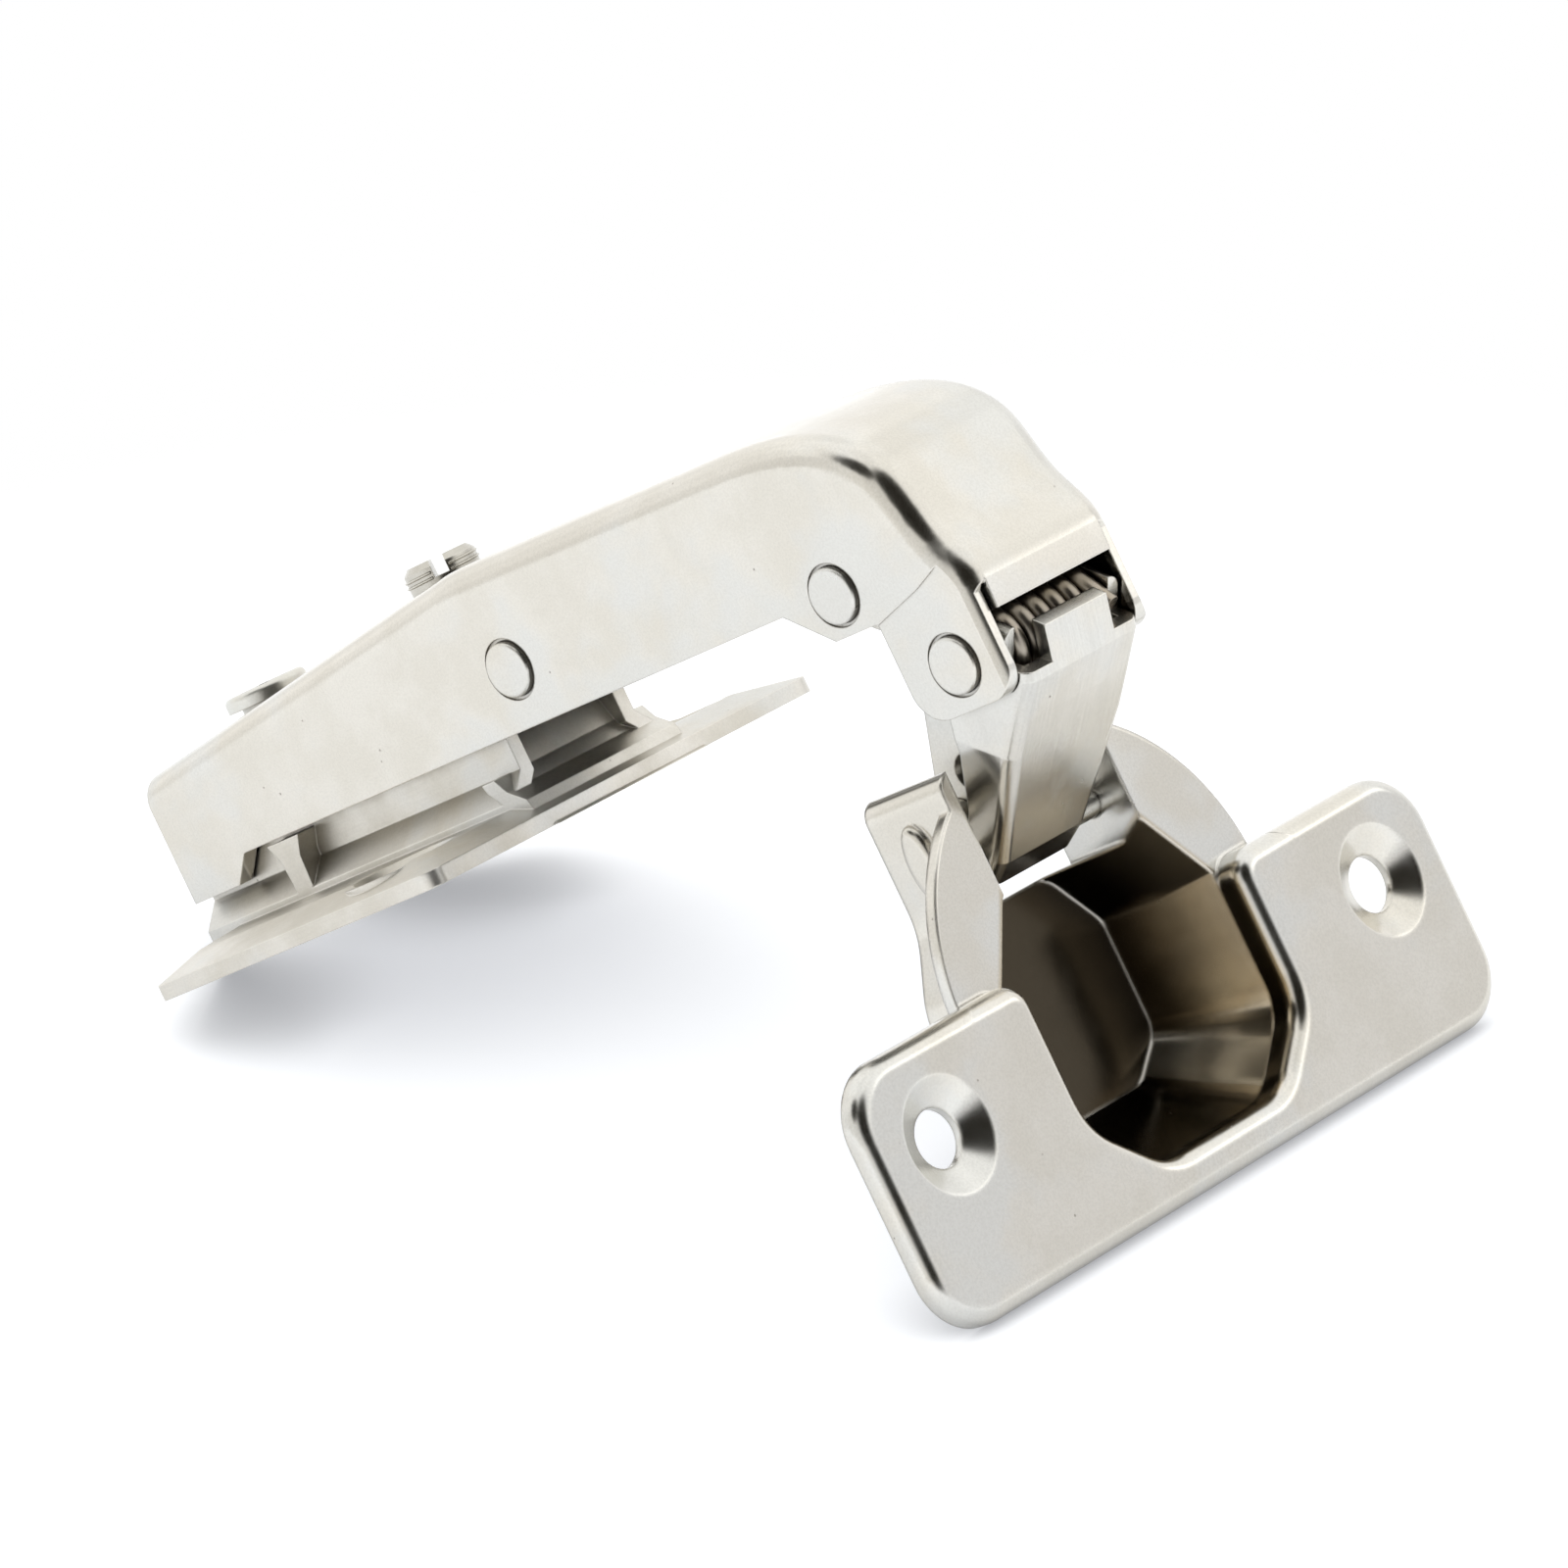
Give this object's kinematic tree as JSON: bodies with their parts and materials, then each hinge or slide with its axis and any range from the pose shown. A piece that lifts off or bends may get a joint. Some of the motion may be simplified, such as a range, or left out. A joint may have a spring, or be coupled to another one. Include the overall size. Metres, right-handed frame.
{
  "type": "concealed cup hinge",
  "caption": "Soft-close concealed cup hinge with a strongly cranked arm, linked cup with screw flange, and a winged mounting plate.",
  "frame": {"origin": "on the cabinet panel, midway between the two screw holes of the mounting plate", "axes": "+X from the arm's tail to its nose, +Y along the hinge pins, +Z away from the panel"},
  "size_m": [0.0942, 0.0674, 0.0659],
  "materials": {
    "nickel_steel": "nickel-plated pressed sheet, satin",
    "link_steel": "stamped and plated",
    "bright_steel": "drawn tube, bright",
    "spring_steel": "plain wire",
    "screw_steel": "plated",
    "white_nylon": "moulded",
    "black_plastic": "moulded",
    "piston_plastic": "moulded",
    "seal_rubber": "smooth"
  },
  "bodies": {
    "plate": {"mounting_plate": "nickel_steel"},
    "fixing_screw": {"fixing_screw": "screw_steel"},
    "arm": {"arm": "nickel_steel", "link_rivet": "nickel_steel", "nose_rivet": "nickel_steel", "damper_rivet_left": "nickel_steel", "damper_rivet_right": "nickel_steel", "damper_cylinder": "bright_steel", "damper_end_cap": "black_plastic", "damper_seal": "seal_rubber", "nylon_pad_left": "white_nylon", "nylon_pad_right": "white_nylon"},
    "side_adjust_screw": {"side_adjust_screw": "screw_steel"},
    "outer_link": {"outer_link": "nickel_steel", "torsion_spring": "spring_steel"},
    "cup": {"cup": "nickel_steel", "cup_pin": "nickel_steel"},
    "inner_link": {"inner_link_plate_1": "link_steel", "inner_link_plate_2": "link_steel", "inner_link_plate_3": "link_steel", "inner_link_plate_4": "link_steel", "inner_link_plate_5": "link_steel", "inner_link_plate_6": "link_steel", "inner_link_plate_7": "link_steel", "inner_link_plate_8": "link_steel", "inner_link_plate_9": "link_steel", "inner_link_plate_10": "link_steel"},
    "damper_rod": {"damper_rod": "bright_steel", "damper_piston": "piston_plastic"}
  },
  "joints": [
    {"name": "arm_depth_slide", "type": "slide", "parent": "plate", "child": "arm", "axis": [1, 0, 0], "range_m": [-0.002, 0.002]},
    {"name": "fixing_screw_turn", "type": "hinge", "parent": "plate", "child": "fixing_screw", "pos_m": [-0.0244, 0, 0.014], "axis": [0, 0, 1], "range_deg": [0, 360]},
    {"name": "side_adjust_turn", "type": "hinge", "parent": "arm", "child": "side_adjust_screw", "pos_m": [0.0006, 0, 0.018], "axis": [0, 0, 1], "range_deg": [-360, 360]},
    {"name": "outer_link_turn", "type": "hinge", "parent": "arm", "child": "outer_link", "pos_m": [0.0551, 0, -0.00065], "axis": [0, -1, 0], "range_deg": [-40.2, 0.1], "deforming": ["torsion_spring"]},
    {"name": "cup_turn", "type": "hinge", "parent": "outer_link", "child": "cup", "pos_m": [0.0452, 0, -0.015], "axis": [0, -1, 0], "range_deg": [0, 130.08]},
    {"name": "inner_link_turn", "type": "hinge", "parent": "cup", "child": "inner_link", "pos_m": [0.0445, 0, -0.0113], "axis": [0, -1, 0], "range_deg": [-125.3, 0.1]},
    {"name": "damper_stroke", "type": "slide", "parent": "arm", "child": "damper_rod", "axis": [1, 0, 0], "range_m": [-0.00001, 0.00163]}
  ],
  "couplings": [
    {"joint": "outer_link_turn", "follows": "cup_turn", "ratio": -0.30813},
    {"joint": "inner_link_turn", "follows": "cup_turn", "ratio": -0.96236},
    {"joint": "damper_stroke", "follows": "cup_turn", "m_per_rad": 0.0007135}
  ]
}
